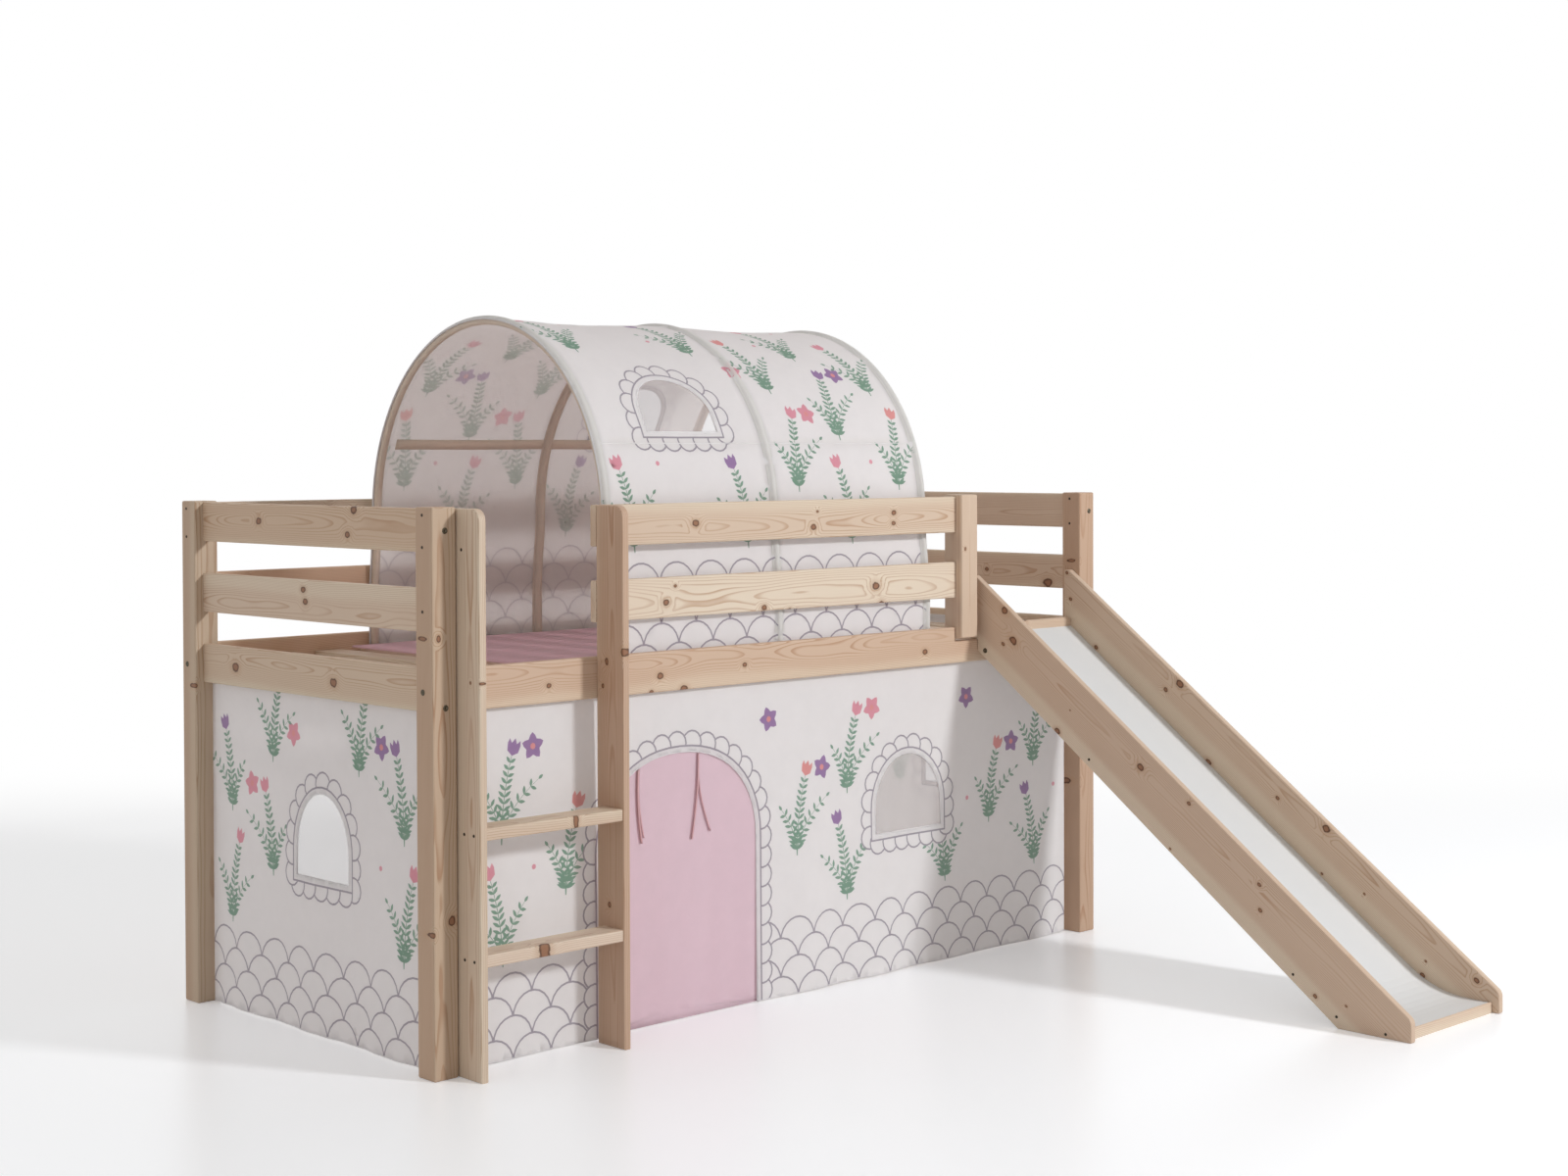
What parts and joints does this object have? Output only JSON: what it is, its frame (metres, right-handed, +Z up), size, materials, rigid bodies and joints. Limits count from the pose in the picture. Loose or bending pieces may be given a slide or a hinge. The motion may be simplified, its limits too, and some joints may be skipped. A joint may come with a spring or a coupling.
{
  "type": "loft bed with slide",
  "caption": "Low wooden loft bed with a ladder, guard boards, a straight slide at the front, a cloth play tunnel on hoops and curtains with a door and windows.",
  "frame": {"origin": "on the floor, under the middle of the box round the whole part", "axes": "+X along the bed from the ladder end to the slide end, +Y from the slide's foot to the wall side, +Z up"},
  "size_m": [2.08, 2.171, 1.552],
  "materials": {
    "pine": "clear satin lacquer",
    "panel_white": "smooth white",
    "print_cloth": "printed cotton",
    "pink_cloth": "plain cotton",
    "rod_white": "smooth"
  },
  "bodies": {
    "bed": {"back_guard_lower": "pine", "back_guard_upper": "pine", "back_rail": "pine", "curtain_front": "print_cloth", "curtain_left": "print_cloth", "curtain_right": "print_cloth", "end_board_left_1": "pine", "end_board_left_2": "pine", "end_board_left_3": "pine", "end_board_right_1": "pine", "end_board_right_2": "pine", "end_board_right_3": "pine", "front_guard_lower": "pine", "front_guard_upper": "pine", "front_rail": "pine", "guard_post": "pine", "ladder_rung_1": "pine", "ladder_rung_2": "pine", "ladder_stringer_left": "pine", "ladder_stringer_right": "pine", "play_mat": "pink_cloth", "post_back_left": "pine", "post_back_right": "pine", "post_front_left": "pine", "post_front_right": "pine", "slat_01": "pine", "slat_02": "pine", "slat_03": "pine", "slat_04": "pine", "slat_05": "pine", "slat_06": "pine", "slat_07": "pine", "slat_08": "pine", "slat_09": "pine", "slat_10": "pine", "slat_11": "pine", "slat_12": "pine", "slat_13": "pine", "slat_14": "pine", "slat_15": "pine", "slat_16": "pine", "slat_bearer_back": "pine", "slat_bearer_front": "pine", "slide_batten_1": "pine", "slide_batten_2": "pine", "slide_batten_3": "pine", "slide_board_left": "pine", "slide_board_right": "pine", "slide_foot_bar": "pine", "slide_head_bar": "pine", "slide_panel": "panel_white", "slide_runout_bar": "pine"},
    "door": {"door_flap": "pink_cloth"},
    "tunnel": {"tunnel_hoop_1": "rod_white", "tunnel_hoop_2": "rod_white", "tunnel_hoop_3": "rod_white", "tunnel_cover": "print_cloth"}
  },
  "joints": [
    {"name": "door_flap_hinge", "type": "hinge", "parent": "bed", "child": "door", "pos_m": [-0.364, 0.14335, 0.601], "axis": [1, 0, 0], "range_deg": [0, 80]},
    {"name": "tunnel_lift", "type": "slide", "parent": "bed", "child": "tunnel", "axis": [0, 0, 1], "range_m": [0, 0.4]}
  ]
}
